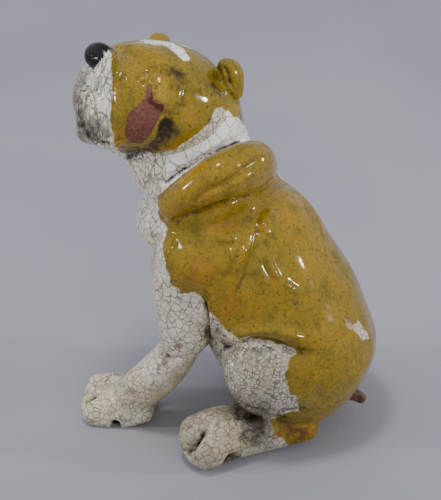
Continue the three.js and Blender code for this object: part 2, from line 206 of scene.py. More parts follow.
# Head.
SKULL = [[0, 22, -1, 21, 17], [0, 13, 0, 30, 25], [0, 0, 0, 33, 27], [0, -15, -1, 31, 26],
         [0, -26, -3, 26, 22], [0, -37, -3, 19, 18]]
NOSE = [[0.8, -41, 13.6, 7.4, 5.6], [1.0, -45.5, 14.2, 8.2, 6.1]]
THROAT = [[0, -2, -20, 20, 9], [0, -15, -23, 15, 7]]
CHIN = [[0, -8, -21.5, 14, 6], [0, -17, -21.8, 12, 5.6], [0, -24, -20.6, 8.5, 4.5]]
FLEW = [[5.2, -42, 5.8, 5.4, 5.4], [4.6, -37, 1, 9, 8], [4.8, -35, -9, 9.5, 8.5], [5, -32, -21.2, 8, 7.2]]
FLEW_TOP = {"left": [[8.6, -43.5, 16.4, 2.2, 2.4], [8, -44.8, 11.6, 3.2, 3.2]], "right": []}
EAR = {"left": [[20.5, 14.5, 18.5, 3.4, 3], [25, 11.8, 23.5, 5.5, 3.2], [27.5, 12.6, 21.2, 6, 3.4],
                [28.2, 15.2, 16, 5.4, 3.4], [28.2, 17.6, 12, 3.4, 3]],
       "right": [[-19, 8, 20, 8, 3], [-23.5, 12.5, 26, 5, 3.2], [-28, 15.5, 24.5, 4, 3],
                 [-31, 16, 15, 3, 2.6]]}
EYEBALL = [[17.2, -28.6, 8.5, 3.6, 3.6], [18.2, -30, 8.9, 3.6, 3.2]]

head_form("head", SKULL, domes=(0.5, 0.2))
head_form("nose", NOSE, domes=(0.6, 0.6))
head_form("neck", THROAT)
head_form("lower_jaw", CHIN)

# Limbs: the right foreleg stands further in and the right hind foot further back.
PAW = {"left": [[11.3, -37, 12, 8.6, 10.6], [11.3, -49, 8.8, 8.6, 11], [11.3, -60.5, 7.4, 7.8, 9]],
       "right": [[-5.3, -34, 8.4, 7.6, 9.6], [-5.3, -48, 8.4, 8, 9.4], [-5.3, -61, 7.6, 7.6, 8.4]]}
FORELEG = {"left": [[33, -9, 104, 12, 19], [29, -16, 85, 11.5, 13.5], [27, -15, 68, 12, 12.5],
                    [23, -16.8, 52.2, 11, 9.6], [19, -26, 36, 10.4, 10.4], [15, -36, 23.5, 9.6, 10.4],
                    [12, -43, 15, 8.6, 9.4]],
           "right": [[-33, -5, 104, 12, 19], [-29, -10, 85, 11.5, 13.5], [-27, -5, 68, 11.5, 11.5],
                     [-22, -1, 52, 10.2, 9.4], [-15, -14.5, 36, 8.4, 8.4], [-9, -27, 23, 7.8, 8],
                     [-6, -35, 14, 7.4, 8]]}
HIND_FOOT = [[24, 43, 12, 8, 9.1], [31, 24, 12, 9, 11], [38, 6, 13, 13, 14], [44, -6, 11.4, 15, 13]]
THIGH = [[31, 40, 46, 16, 20], [36, 27, 48, 16, 24], [38, 17, 43, 13, 19]]


def sided(stops, way, set_back=0.0):
    """Stops of the left side, or mirrored to the right and set back."""
    return [[way * x, y + set_back, z, wide, high] for x, y, z, wide, high in stops]


for side, way in SIDES:
    head_form(side + "_flew", FLEW_TOP[side] + sided(FLEW, way), domes=(0.7, 0.7))
    head_form(side + "_ear", EAR[side], side=Y)
    head_form(side + "_eye", sided(EYEBALL, way))
    form(side + "_front_paw", PAW[side], domes=(0.6, 0.9))
    form(side + "_foreleg", FORELEG[side], domes=(0.8, 0.6))
    form(side + "_hind_foot", sided(HIND_FOOT, way, FAR_FOOT_SETBACK * (way < 0)), domes=(0.8, 0.7))
    form(side + "_thigh", sided(THIGH, way))

# One skin round all the clay.
VOXEL = 0.8


def mesh_from(name, points, faces):
    mesh = bpy.data.meshes.new(name)
    mesh.from_pydata(points.tolist(), [], faces)
    return mesh


def fused(parts):
    """One closed skin round all the forms, as vertices and quads."""
    points, faces, start = [], [], 0
    for _, p, f in parts:
        points.append(p)
        faces += [tuple(i + start for i in face) for face in f]
        start += len(p)
    clay = bpy.data.objects.new("clay", mesh_from("clay", np.vstack(points), faces))
    bpy.context.scene.collection.objects.link(clay)
    remesh = clay.modifiers.new("fuse", "REMESH")
    remesh.mode = "VOXEL"
    remesh.voxel_size = VOXEL
    graph = bpy.context.evaluated_depsgraph_get()
    mesh = bpy.data.meshes.new_from_object(clay.evaluated_get(graph))
    bpy.data.objects.remove(clay)
    vertices = np.zeros(len(mesh.vertices) * 3)
    mesh.vertices.foreach_get("co", vertices)
    quads = np.zeros(len(mesh.polygons) * 4, int)
    mesh.loops.foreach_get("vertex_index", quads)
    return vertices.reshape(-1, 3), quads.reshape(-1, 4)


def edges_of(quads):
    """The four directed edges of every quad."""
    return np.vstack([quads[:, [k, (k + 1) % 4]] for k in range(4)])


V, Q = fused(forms)
edges = np.unique(np.sort(edges_of(Q), axis=1), axis=0)
degree = np.bincount(edges.ravel(), minlength=len(V)).astype(float)
RELAX_STEP = 0.5
SWELL_BACK = -1.04
FUSE_ROUNDS = 6
JOINT_PULL = 1.2
JOINT_ROUNDS = 40
EVEN_ROUNDS = 4
LAST_ROUNDS = 2


def mean_of_neighbours(values):
    one, two = edges.T
    columns = [np.bincount(one, c[two], len(V)) + np.bincount(two, c[one], len(V)) for c in values.T]
    return np.stack(columns, -1) / degree[:, None]


def relax(points, amount, rounds, keep_volume=False):
    """Draw each point towards its neighbours, and swell back every second round to keep the volume."""
    amount = np.broadcast_to(amount, len(points))[:, None]
    for r in range(rounds):
        pull = SWELL_BACK if keep_volume and r % 2 else 1.0
        points = points + RELAX_STEP * pull * amount * (mean_of_neighbours(points) - points)
    return points


def normals_of(points):
    a, b, c, d = (points[Q[:, k]] for k in range(4))
    face = np.cross(c - a, d - b)
    sums = [[np.bincount(Q[:, k], axis, len(points)) for k in range(4)] for axis in face.T]
    total = np.stack([sum(corners) for corners in sums], -1)
    return total / np.maximum(np.linalg.norm(total, axis=1), 1e-9)[:, None]


V = relax(V, 1.0, FUSE_ROUNDS, keep_volume=True)

# Which piece each vertex lies on, and how far it is from the next piece.
NAMES = sorted({node for node, _, _ in forms})
FAR = 30.0
SEARCH = 12.0
NOSE_EDGE = 0.6
NOSE_SIDE = 7.5
NOSE_BACK = -42
LIP_BESIDE_NOSE = 5


def distances():
    """Distance of every vertex from every piece, with the nose kept off the lip beside it."""
    found = np.full((len(V), len(NAMES)), FAR)
    for node, points, faces in forms:
        surface = BVHTree.FromPolygons(points.tolist(), faces)
        column = NAMES.index(node)
        near = np.all((V > points.min(0) - SEARCH) & (V < points.max(0) + SEARCH), axis=1)
        for i in np.nonzero(near)[0]:
            found[i, column] = min(found[i, column], surface.find_nearest(V[i])[3])
    in_head = moved(V, UNHEAD)
    beside = (in_head[:, 0] > NOSE_SIDE) & (in_head[:, 1] > NOSE_BACK)
    found[:, NAMES.index("nose")] += NOSE_EDGE + LIP_BESIDE_NOSE * beside
    return found


distance = distances()
order = np.argsort(distance, axis=1)
label = order[:, 0]
second = order[:, 1]
gap = distance[np.arange(len(V)), second]


def lies_on(*nodes, labels=label):
    return np.isin(labels, [NAMES.index(node) for node in nodes])


# How far the joint between two kinds of pieces is smoothed over; other joints stay crisp.
CRISP = 1.5
BLEND = {"torso foreleg": 8, "torso thigh": 6, "torso hind_foot": 3, "foreleg front_paw": 11,
         "thigh hind_foot": 2.5, "neck torso": 9, "neck head": 5, "head flew": 3, "head lower_jaw": 3,
         "neck lower_jaw": 4, "torso tail": 2, "neck foreleg": 6, "neck_roll foreleg": 2, "head ear": 2}
ELBOW_HEIGHT = 45
ARMPIT_HEIGHT = 78
ARMPIT_RISE = 10
ARMPIT_SPAN = 2
ARMPIT_GROWTH = 0.6
FORELEGS = ("left_foreleg", "right_foreleg")


def joint_spans():
    """How far each vertex's joint is smoothed over, with the foreleg kept apart below the armpit."""
    kind = [n.replace("left_", "").replace("right_", "") for n in NAMES]
    blend = np.full((len(NAMES), len(NAMES)), CRISP)
    for pair, radius in BLEND.items():
        for i, a in enumerate(kind):
            for j, b in enumerate(kind):
                if {a, b} == set(pair.split()):
                    blend[i, j] = radius
    span = blend[label, second]
    upper_arm = (lies_on(*FORELEGS) | lies_on(*FORELEGS, labels=second)) & (V[:, 2] > ELBOW_HEIGHT)
    armpit = ARMPIT_SPAN + ARMPIT_GROWTH * np.clip(V[:, 2] - ARMPIT_HEIGHT, 0, ARMPIT_RISE)
    return np.where(upper_arm, np.minimum(span, armpit), span)


V = relax(V, np.clip(JOINT_PULL * (1 - gap / joint_spans()), 0, 1), JOINT_ROUNDS)
V = relax(V, 1.0, EVEN_ROUNDS, keep_volume=True)
N = normals_of(V)
skin = BVHTree.FromPolygons(V.tolist(), Q.tolist())
groove = np.zeros(len(V))

# Tools that work the skin, placed at pixels of the photograph.
STROKE_STEP = 1.5
NOTCH_REACH = 7


def on_skin(pixels):
    """Where the photograph's view of these pixels meets the skin."""
    found = []
    for u, v in pixels:
        ray = RIGHT * (u - IMAGE[0] / 2) / FOCAL + UP * (IMAGE[1] / 2 - v) / FOCAL - BACK
        hit = skin.ray_cast(Vector(EYE), Vector(ray).normalized())[0]
        if hit is not None:
            found.append(hit)
    return np.array(found)


def both_sides(points, mirror, shift):
    """These points, and where a mirror is named also the same place on the other side of the body or head."""
    if mirror is None:
        return [points]
    if mirror == "head":
        return [points, moved(moved(points, UNHEAD) * (-1, 1, 1), HEAD)]
    return [points, points * (-1, 1, 1) + (0, shift, 0)]


def stroke(pixels, depth, width, dark=0.0, mirror=None, shift=0.0, ends=0.25):
    """A tool stroke along pixels: depth in mm, negative to cut in, with dark paint of share dark in the cut,
    painted shade in a crease and soot in a scratch.
    """
    pixels = np.asarray(pixels, float)
    length = np.linalg.norm(np.diff(pixels, axis=0), axis=1).sum()
    path = on_skin(spline(pixels, np.linspace(0, 1, max(int(length / STROKE_STEP), 6))))
    for line in both_sides(path, mirror, shift):
        near = np.all((V > line.min(0) - 3 * width) & (V < line.max(0) + 3 * width), axis=1)
        index = np.nonzero(near)[0]
        gaps = np.linalg.norm(V[index, None] - line[None], axis=2)
        nearest = gaps.argmin(1)
        share = nearest / (len(line) - 1)
        fade = np.sqrt(np.clip(np.minimum(share, 1 - share) / ends, 0, 1))
        d = gaps[np.arange(len(index)), nearest] / width
        V[index] += (depth * fade * np.exp(-d ** 2))[:, None] * N[index]
        groove[index] = np.maximum(groove[index], dark * fade * np.exp(-(1.2 * d) ** 2))


def lump(pixel, height, radius, mirror=None, shift=0.0):
    """A swelling of the clay at a pixel, or a hollow where the height is negative."""
    for centre in both_sides(on_skin([pixel]), mirror, shift):
        d = np.linalg.norm(V - centre[0], axis=1) / radius
        V[:] += (height * np.exp(-d ** 2))[:, None] * N


def notch(node, point, outward, depth, half_width, height):
    """An arch cut into the outer side of a paw where it meets the floor, with painted shade in the arch."""
    outward = np.array(outward) / np.linalg.norm(outward)
    reach = (V - point) @ outward
    along = (V - point) @ np.cross(Z, outward)
    d = (along / half_width) ** 4 + (V[:, 2] / height) ** 4
    cut = np.exp(-d) * (reach > -NOTCH_REACH) * lies_on(node)
    V[:] -= depth * cut[:, None] * outward
    groove[:] = np.maximum(groove, cut)


def work(touches):
    """Apply touches in order: one pixel makes a lump, and more make a stroke."""
    for pixels, depth, width, dark, options in touches.values():
        if len(pixels) == 1:
            lump(pixels[0], depth, width, **options)
        else:
            stroke(pixels, depth, width, dark, **options)


# Creases smoothed over, as with clay pressed in: pixels, and how far from them in mm.
CREASES = {
    "under_roll": ([(170, 224), (184, 220), (197, 214), (212, 208), (228, 203)], 3.0),
    "below_that": ([(172, 229), (190, 228), (208, 224), (224, 217), (240, 209), (250, 204)], 6.0),
    "beside_nose": ([(113, 52), (115, 60), (115, 68)], 2.5)}
CREASE_POINTS = 12
CREASE_ROUNDS = 80
for pixels, width in CREASES.values():
    crease = on_skin(spline(pixels, np.linspace(0, 1, CREASE_POINTS)))
    near = np.linalg.norm(V[:, None] - crease[None], axis=2).min(1) / width
    V = relax(V, np.exp(-near ** 2), CREASE_ROUNDS)
N = normals_of(V)
skin = BVHTree.FromPolygons(V.tolist(), Q.tolist())

# Options of a touch: on the side that is seen, or on both sides of the body, the face or the hind feet.
ONE_SIDE = {}
BODY = {"mirror": "body"}
BODY_SOFT = {"mirror": "body", "ends": 0.5}
FACE = {"mirror": "head"}
FEET = {"mirror": "body", "shift": FAR_FOOT_SETBACK}

# Touches of the tool: pixels, depth and width in mm, dark paint left in the cut (painted shade in creases,
# soot in scratches), and options.
NECK_AND_SHOULDER = {
    "shoulder": ([(205, 252)], 2.0, 15, 0, BODY),
    "dip_behind_roll": ([(280, 178)], -2.0, 8, 0, ONE_SIDE),
    "nape": ([(231, 113)], 1.5, 9, 0, ONE_SIDE),
    "upper_arm_front": ([(186, 234)], 1.4, 8, 0, BODY),
    "upper_arm_back": ([(207, 226)], 1.4, 8, 0, BODY),
    "under_roll": ([(171, 221), (188, 215), (207, 208), (225, 202), (241, 198)],
                   -3.4, 1.2, 1.0, {"ends": 0.2}),
    "behind_roll": ([(236, 199), (248, 197), (258, 191), (265, 185), (274, 178)], -1.6, 1.2, 0.8, ONE_SIDE),
    "fold_in_roll": ([(192, 204), (206, 192), (222, 185), (238, 176), (252, 165), (264, 158)],
                     -2.2, 2.0, 0.3, ONE_SIDE),
    "above_roll": ([(165, 180), (184, 169), (204, 157), (224, 145), (240, 136)], -2.0, 0.9, 0, ONE_SIDE),
    "shoulder_ridge": ([(274, 210), (266, 220), (260, 232)], 2.6, 2.6, 0, BODY),
    "long_fold": ([(263, 218), (257, 231), (254, 245), (249, 262), (242, 280), (234, 300)],
                  -2.0, 1.5, 0.4, BODY_SOFT),
    "middle_ridge": ([(247, 244), (241, 258), (235, 274)], 1.8, 1.7, 0, BODY),
    "middle_fold": ([(239, 247), (233, 262), (226, 280)], -1.7, 1.6, 0.3, BODY_SOFT),
    "front_ridge": ([(234, 248), (229, 260), (222, 274)], 1.4, 2.0, 0, BODY),
    "back_ridge": ([(266, 254), (271, 266), (279, 280)], 1.3, 1.5, 0, BODY),
    "back_fold": ([(262, 258), (267, 270), (275, 284)], -0.9, 1.3, 0.3, BODY),
    "rib_ridge": ([(283, 283), (291, 288), (299, 292)], 1.0, 2.0, 0, BODY),
    "cross_ridge": ([(210, 236), (222, 238), (236, 239)], 1.6, 2.4, 0, BODY),
    "cross_fold": ([(208, 243), (222, 245), (236, 246)], -1.0, 2.4, 0, BODY),
    "breast_ridge": ([(176, 234), (173, 246), (169, 257)], 1.4, 2.4, 0, BODY),
    "armpit": ([(203, 299), (205, 312), (207, 325), (208, 338), (209, 349)],
               -5.0, 1.1, 1.0, {"mirror": "body", "ends": 0.15})}
CHEST_AND_THROAT = {
    "throat": ([(146, 186), (156, 183), (166, 181)], -2.2, 1.6, 0.35, ONE_SIDE),
    "tuft_front": ([(151, 194), (143, 213), (141, 230)], -0.9, 1.0, 0.25, BODY),
    "tuft_back": ([(157, 198), (150, 215), (147, 231)], -0.9, 1.0, 0.25, BODY),
    "tuft_end": ([(139, 234), (150, 237), (162, 236)], -2.2, 1.5, 0.35, BODY)}
FLANK_AND_THIGH = {
    "flank_ridge": ([(230, 340), (240, 334), (254, 330), (275, 331), (292, 335), (306, 344)],
                    2.6, 3.0, 0, BODY),
    "above_thigh": ([(236, 348), (247, 341), (262, 340), (280, 344), (298, 351), (318, 354)],
                    -3.2, 1.7, 0.6, BODY),
    "before_thigh": ([(238, 341), (228, 352), (223, 368), (225, 385), (232, 399)], -1.8, 1.6, 0.5, BODY),
    "below_thigh": ([(230, 398), (248, 408), (268, 413), (292, 413), (306, 408)], -2.8, 1.7, 0.8, BODY),
    "flank_fold": ([(240, 331), (262, 326), (285, 327), (306, 333)], -0.8, 1.5, 0.1, BODY),
    "scratch_1": ([(231, 333), (240, 338), (250, 343)], -0.4, 0.7, 0.8, ONE_SIDE),
    "scratch_2": ([(252, 341), (264, 346), (277, 350)], -0.4, 0.7, 0.8, ONE_SIDE),
    "scratch_3": ([(282, 343), (293, 350), (303, 356)], -0.4, 0.7, 0.7, ONE_SIDE),
    "scratch_4": ([(296, 351), (308, 354), (320, 353)], -0.4, 0.8, 0.8, ONE_SIDE),
    "scratch_5": ([(244, 336), (262, 334), (280, 338)], -0.3, 0.6, 0.5, ONE_SIDE)}
TOES = {
    "cleft": ([(205, 427), (198, 436), (192, 445), (188, 452)], -7.5, 2.1, 1.0, {**FEET, "ends": 0.1}),
    "cleft_end": ([(190, 448), (188, 452), (186, 456)], -3.0, 2.0, 1.0, {**FEET, "ends": 0.05}),
    "instep": ([(203, 414), (201, 425), (195, 438)], -1.5, 3.0, 0.0, {**FEET, "ends": 0.3}),
    "outer_toe": ([(246, 428), (243, 437), (240, 446)], -1.6, 2.4, 0.2, {**FEET, "ends": 0.5}),
    "front_toe": ([(115, 404), (115, 414), (114, 424)], -1.0, 2.6, 0.0, {"ends": 0.5})}
ELBOW_AND_PAW = {
    "elbow": ([(199, 343)], 2.4, 6, 0, BODY),
    "below_elbow": ([(160, 351), (172, 360), (186, 357), (205, 352)], -2.6, 1.3, 0.5, BODY),
    "between_paws": ([(83, 402), (88, 398), (93, 395), (98, 391)], -4.0, 1.8, 1.0, {"ends": 0.2})}
HEAD_TOUCHES = {
    "lip_parting": ([(103, 76), (95, 87), (92, 98), (93, 112), (97, 126), (101, 139)],
                    -2.6, 1.5, 0.6, ONE_SIDE),
    "mouth": ([(97, 143), (105, 145), (113, 146)], -4.0, 1.2, 0.9, {"ends": 0.2}),
    "lip_fold": ([(105, 116), (108, 130), (112, 142)], -1.4, 1.2, 0.5, ONE_SIDE),
    "below_nose": ([(105, 60), (103, 68), (102, 76)], -1.4, 1.2, 0.7, ONE_SIDE),
    "lip_edge": ([(112, 54), (113, 75), (112, 100), (112, 125), (115, 143)], -1.0, 1.2, 0.3, FACE),
    "jaw": ([(120, 160), (128, 161), (140, 160), (152, 158), (172, 151)], -1.8, 1.3, 0.4, ONE_SIDE),
    "upper_lid": ([(136, 82), (139, 75), (146, 71), (153, 76)], -0.8, 0.9, 0.6, FACE),
    "lower_lid": ([(138, 85), (145, 83), (151, 79)], -0.8, 0.8, 0.5, FACE),
    "brow_scratch": ([(168, 67), (177, 75), (184, 82)], -0.4, 1.5, 0.8, ONE_SIDE),
    "cheek_scratch": ([(187, 84), (184, 94), (181, 104), (177, 112)], -0.4, 1.2, 0.8, ONE_SIDE),
    "patch_ridge": ([(166, 104), (163, 118), (157, 130), (150, 139), (146, 143)], 0.9, 1.0, 0, FACE),
    "patch_fold": ([(170, 110), (167, 122), (161, 134)], -0.9, 1.2, 0.6, FACE),
    "ear_fold": ([(222, 63), (227, 71), (230, 81), (234, 91)], -1.5, 1.0, 0.9, ONE_SIDE),
    "bridge": ([(116, 52)], 1.4, 7, 0, ONE_SIDE)}
PAW_NOTCH = (114.5, 418)
FOOT_NOTCH = (234, 449)
PAW_MIDDLE = 3.0
FOOT_OUTWARD = (0.84, 0.55)
# Depth, half width and height of the arches.
PAW_ARCH = (6.5, 2.1, 4.4)
FOOT_ARCH = (7.5, 3.6, 8.0)


def cut_notches():
    """The arches under the outer sides of all four feet."""
    paw_side, foot_side = on_skin([PAW_NOTCH, FOOT_NOTCH])
    for side, way in SIDES:
        paw = paw_side * (way, 1, 1) + (PAW_MIDDLE * (1 - way), 0, 0)
        foot = foot_side * (way, 1, 1) + (0, FAR_FOOT_SETBACK * (way < 0), 0)
        notch(side + "_front_paw", paw, (way, 0, 0), *PAW_ARCH)
        notch(side + "_hind_foot", foot, (way * FOOT_OUTWARD[0], FOOT_OUTWARD[1], 0), *FOOT_ARCH)


for touches in (NECK_AND_SHOULDER, CHEST_AND_THROAT, FLANK_AND_THIGH, TOES):
    work(touches)
cut_notches()
work(ELBOW_AND_PAW)
work(HEAD_TOUCHES)
V = relax(V, 1.0, LAST_ROUNDS, keep_volume=True)

# Soles and base lie flat on the floor.
V[:, 2] = np.maximum(V[:, 2], 0)
N = normals_of(V)


def touching_faces():
    """For every face, the faces that share an edge with it."""
    by_edge = {}
    for f, quad in enumerate(Q):
        for k in range(4):
            key = (min(quad[k], quad[(k + 1) % 4]), max(quad[k], quad[(k + 1) % 4]))
            by_edge.setdefault(key, []).append(f)
    found = [[] for _ in Q]
    for pair in by_edge.values():
        if len(pair) == 2:
            found[pair[0]].append(pair[1])
            found[pair[1]].append(pair[0])
    return found


# Faces take the piece that most of their corners lie on.
STRAY_ROUNDS = 3
PINCH_ROUNDS = 12
face_label = np.array([np.bincount(corners).argmax() for corners in label[Q]])
touch = touching_faces()


def islands():
    """Groups of touching faces of one piece."""
    group_of = np.full(len(Q), -1)
    groups = []
    for start in range(len(Q)):
        if group_of[start] >= 0:
            continue
        group, stack = [], [start]
        group_of[start] = len(groups)
        while stack:
            f = stack.pop()
            group.append(f)
            for g in touch[f]:
                if group_of[g] < 0 and face_label[g] == face_label[f]:
                    group_of[g] = len(groups)
                    stack.append(g)
        groups.append(group)
    return groups


def join_strays():
    """Give every island but a piece's largest to the piece that borders it most."""
    groups = islands()
    largest = {}
    for group in groups:
        column = face_label[group[0]]
        if len(group) > len(largest.get(column, [])):
            largest[column] = group
    for group in groups:
        if group is not largest[face_label[group[0]]]:
            border = [face_label[g] for f in group for g in touch[f] if face_label[g] != face_label[f]]
            if border:
                face_label[group] = np.bincount(border).argmax()


def rim_of(quads, count):
    """Directed edges of quads that no other quad runs back along, for corners numbered below count."""
    one = edges_of(quads)
    key = one[:, 0] * count + one[:, 1]
    return one[~np.isin(key, one[:, 1] * count + one[:, 0])]


def pinches():
    """Corners where one piece's skin would meet itself only at a point, with that piece."""
    found = []
    for column in range(len(NAMES)):
        rim = rim_of(Q[face_label == column], len(V))
        corner, times = np.unique(rim[:, 0], return_counts=True)
        found += [(c, column) for c in corner[times > 1]]
    return found


def open_pinches():
    """Give all faces round a pinched corner to its piece, until no corner is pinched."""
    for _ in range(PINCH_ROUNDS):
        stuck = pinches()
        for corner, column in stuck:
            face_label[(Q == corner).any(1)] = column
        if not stuck:
            break


for _ in range(STRAY_ROUNDS):
    join_strays()
open_pinches()

# Where each corner would stand in the photograph, with the far side folded onto the near one.
HEAD_NODES = ("head", "nose", "lower_jaw", "left_flew", "right_flew", "left_ear", "right_ear", "left_eye",
              "right_eye")
EDGE = 8
GRAZING = -0.1
on_head = lies_on(*HEAD_NODES)
on_neck = lies_on("neck")
near_body = V.copy()
near_body[:, 0] = np.abs(near_body[:, 0])
near_body[lies_on("right_hind_foot"), 1] -= FAR_FOOT_SETBACK
near_head = moved(V, UNHEAD)
head_side = near_head[:, 0].copy()
near_head[:, 0] = np.abs(near_head[:, 0])
folded = project(np.where(on_head[:, None], moved(near_head, HEAD), near_body))
direct = project(V)
facing = N @ BACK > GRAZING


def inside(outline, pixels):
    """How far pixels lie within a closed outline, in mm of the dog; negative outside."""
    ring = np.asarray(outline, float)
    within = np.zeros(len(pixels), bool)
    near = np.full(len(pixels), 1e9)
    for a, b in zip(ring, np.roll(ring, -1, axis=0)):
        along = b - a
        t = np.clip(((pixels - a) @ along) / (along @ along), 0, 1)
        near = np.minimum(near, np.linalg.norm(pixels - a - t[:, None] * along, axis=1))
        if a[1] != b[1]:
            crosses = (a[1] > pixels[:, 1]) != (b[1] > pixels[:, 1])
            within ^= crosses & (pixels[:, 0] < a[0] + (pixels[:, 1] - a[1]) / (b[1] - a[1]) * along[0])
    return np.clip(np.where(within, near, -near) / PIXELS_PER_MM, -EDGE, EDGE)


def seen(outline, where=facing):
    """How far corners of the side that is seen lie within an outline."""
    return np.where(where, inside(outline, direct), -EDGE)


def blots(spots):
    """Soft stains at pixels of the side that is seen: [u, v, radius in pixels, strength]."""
    total = np.zeros(len(V))
    for u, v, radius, strength in spots:
        total += strength * np.exp(-((direct - (u, v)) ** 2).sum(1) / radius ** 2)
    return np.clip(total * facing, 0, 1)


# White glaze: muzzle, chin and collar; chest, belly and legs; blaze; a spot on the rump.
MUZZLE = [(60, 66), (104, 50), (109, 46), (112, 55), (112, 85), (110, 110), (112, 135), (116, 147),
          (126, 159), (150, 157), (175, 149), (200, 133), (210, 119), (214, 109), (221, 108), (229, 112),
          (262, 134), (240, 200), (60, 200)]
BODY_WHITE = [(246, 134), (226, 147), (205, 159), (185, 171), (167, 182), (158, 200), (158, 214), (167, 228),
              (163, 245), (163, 258), (168, 272), (172, 285), (182, 293), (195, 292), (203, 298), (206, 308),
              (215, 318), (226, 330), (236, 338), (250, 338), (268, 341), (285, 345), (298, 352), (290, 360),
              (286, 378), (290, 392), (297, 398), (300, 412), (285, 414), (270, 420), (275, 434), (290, 446),
              (300, 444), (330, 436), (340, 490), (50, 490), (50, 100), (215, 60)]
BLAZE = [(134, 43), (142, 38), (158, 36), (174, 38), (194, 46), (191, 48), (175, 44), (184, 51), (188, 59),
         (184, 61), (176, 55), (164, 47), (150, 43)]
RUMP_SPOT = [(345, 319), (352, 324), (360, 321), (364, 330), (368, 338), (362, 341), (355, 332), (347, 326)]
NAPE_STRIP = [(212, 98), (216, 108), (229, 111), (246, 124), (260, 116), (236, 88)]
FAR_FLEW = [(93, 70), (87, 84), (86, 98), (88, 112), (92, 126), (100, 142), (70, 152), (58, 100), (70, 60)]
FAR_FLEW_SIDE = 4
UNDER_ROLL = [(165, 200), (200, 185), (245, 165), (280, 170), (300, 260), (168, 260)]


def white_paint():
    """How far within the white glaze each corner lies."""
    white = np.where(on_head, np.maximum(inside(MUZZLE, folded), seen(BLAZE)), inside(BODY_WHITE, folded))
    far_side = on_head & (head_side < FAR_FLEW_SIDE)
    white = np.where(far_side, np.maximum(white, inside(FAR_FLEW, direct)), white)
    white = np.where(lies_on("torso"), np.maximum(white, seen(RUMP_SPOT)), white)
    white = np.where(on_neck, -seen(NAPE_STRIP), white)
    white[lies_on("neck_roll", "left_ear", "right_ear")] = -EDGE
    return np.where(on_neck & facing & (inside(UNDER_ROLL, direct) > 0), -EDGE, white)


# Bare red clay round the eye, and the glazed rim beside it that stays clean of soot.
RED_PATCH = [(147, 84), (152, 84), (153, 94), (153, 102), (166, 104), (163, 112), (159, 117), (154, 128),
             (149, 137), (141, 144), (130, 143), (125, 136), (125, 124), (129, 112), (140, 104), (145, 97)]
PATCH_RIM = [(160, 116), (164, 116), (158, 122), (157, 131), (151, 139), (143, 142), (142, 139), (149, 136),
             (154, 129), (155, 121)]

# Soot of the smoke firing: stains and small marks; and painted shade in dark seams, cuts and hollows.
# Painted shade among these spots: the ear's root, the far lip's edge, under the roll, the armpit and under
# the feet.
SOOT_AND_SHADE = [(165, 122, 7, 1.2), (161, 134, 7, 1.0), (172, 130, 7, 0.8), (154, 146, 8, 0.85), (141, 152, 7, 0.8),
        (130, 156, 6, 1.0), (168, 71, 8, 0.7), (179, 75, 7, 0.7), (187, 80, 5, 0.55), (176, 87, 7, 0.5),
        (182, 103, 5, 0.6), (176, 111, 5, 0.5), (198, 98, 9, 0.3), (126, 78, 6, 0.3), (131, 93, 6, 0.25),
        (170, 142, 8, 0.35), (118, 138, 5, 0.4), (205, 88, 9, 0.25), (228, 80, 4, 0.5), (231, 92, 4, 0.6),
        (88, 116, 15, 0.3), (92, 134, 12, 0.36), (83, 98, 9, 0.25), (77, 100, 4, 0.5), (79, 112, 4, 0.5),
        (82, 124, 5, 0.5), (88, 134, 5, 0.5), (94, 140, 4, 0.5), (213, 318, 3, 0.7), (217, 330, 3, 0.8),
        (222, 341, 3, 0.7), (212, 338, 3, 0.7), (228, 346, 4, 0.5), (238, 343, 7, 0.45), (238, 411, 8, 0.7),
        (254, 418, 9, 0.75), (264, 429, 9, 0.6), (252, 436, 9, 0.5), (280, 418, 8, 0.4), (206, 295, 6, 0.6),
        (226, 347, 5, 0.6), (220, 354, 4, 0.5), (226, 363, 3, 0.6), (285, 420, 8, 0.35), (300, 428, 8, 0.4),
        (310, 422, 6, 0.3), (292, 439, 8, 0.45), (213, 77, 6, 0.6), (216, 86, 6, 0.6), (221, 94, 4, 0.6),
        (190, 428, 5, 0.4), (236, 456, 6, 0.5), (176, 222, 6, 0.5), (250, 322, 8, 0.2), (296, 368, 6, 0.3),
        (246, 420, 10, 0.35), (160, 340, 7, 0.2), (262, 288, 8, 0.25), (120, 424, 5, 0.6)]
# Painted shade in the parting of the mouth.
MOUTH_SHADE = [(98, 142, 2, 0.8), (104, 144, 2, 1.0), (110, 145, 2, 1.0), (93, 138, 2, 0.6)]
WHISKERS = [(84, 91), (89, 96), (82, 103), (87, 108), (91, 103), (84, 117), (90, 121), (86, 127), (92, 132),
            (95, 117), (88, 87), (81, 111), (90, 137), (86, 99), (94, 125), (97, 109), (88, 114), (83, 123)]
BELLY_MARKS = [(209, 315), (211, 322), (210, 330), (213, 336), (216, 344), (212, 346), (219, 333), (224, 336),
               (221, 350), (227, 340), (229, 352), (226, 360), (215, 352), (232, 345)]
# Painted shade along the seam under the neck roll.
COLLAR_SEAM = [(166, 182), (178, 173.5), (190, 166), (210, 154.5), (225, 147), (238, 141.5)]
SEAM_SPOTS = 40
MARK = (1.5, 0.85)
SEAM_SHADE = (1.6, 0.9)


def soot_and_shade_paint():
    """How dark each corner is with soot and painted shade: the tool's grooves dark with painted shade, and
    the rim of the red patch clean.
    """
    marks = [(u, v, *MARK) for u, v in WHISKERS + BELLY_MARKS]
    seam = [(u, v, *SEAM_SHADE) for u, v in spline(COLLAR_SEAM, np.linspace(0, 1, SEAM_SPOTS))]
    soot = np.max([blots(SOOT_AND_SHADE), blots(marks), blots(MOUTH_SHADE), blots(seam), groove], axis=0)
    return soot * np.clip(1 - 2 * (seen(PATCH_RIM, facing & on_head) + 0.4), 0, 1)
